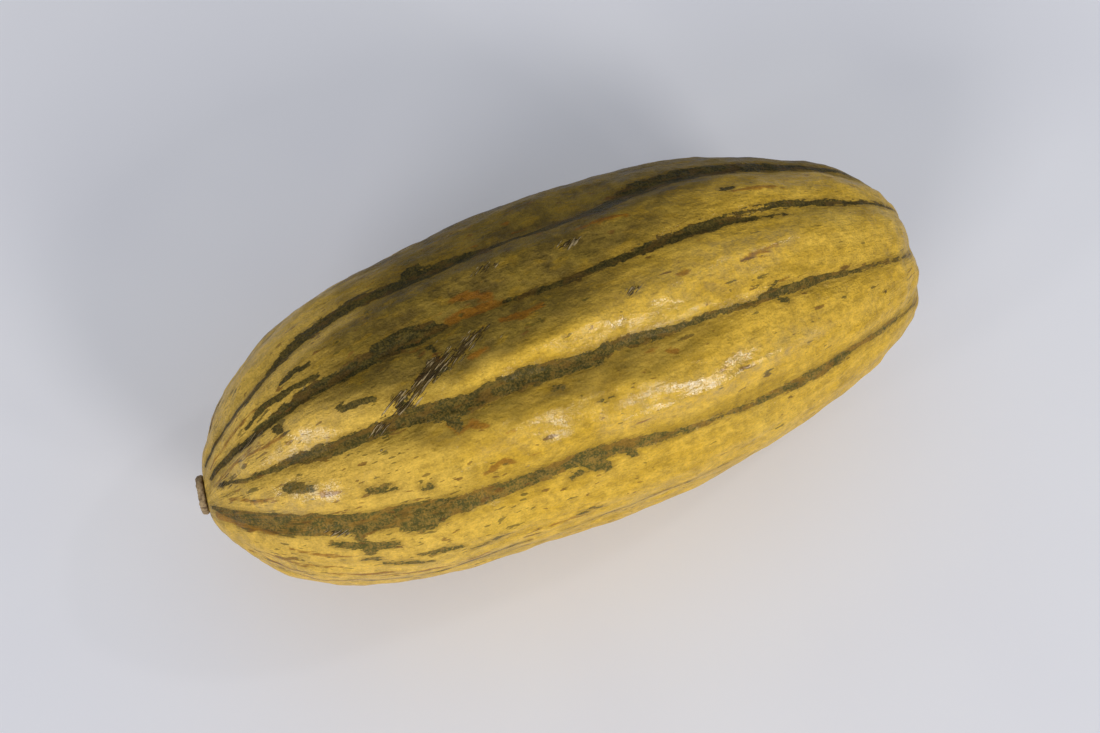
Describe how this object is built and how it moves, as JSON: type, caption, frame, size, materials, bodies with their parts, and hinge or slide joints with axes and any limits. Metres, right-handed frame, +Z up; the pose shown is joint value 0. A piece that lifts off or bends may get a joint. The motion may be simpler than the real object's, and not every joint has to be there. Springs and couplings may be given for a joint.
{
  "type": "delicata squash",
  "caption": "Oblong ribbed winter squash lying on its side, yellow with broken green stripes in the furrows and a corky stub of stem.",
  "frame": {"origin": "centre of the bounding box in plan, on the plane the squash lies on", "axes": "+X runs along the squash from the stem end to the blossom end, +Z is up as it lies, +Y completes the frame"},
  "size_m": [0.2, 0.09, 0.0884],
  "materials": {
    "rind": "satin",
    "cork": "matte"
  },
  "bodies": {
    "root": {"fruit": "rind", "stem_stub": "cork"}
  },
  "joints": []
}
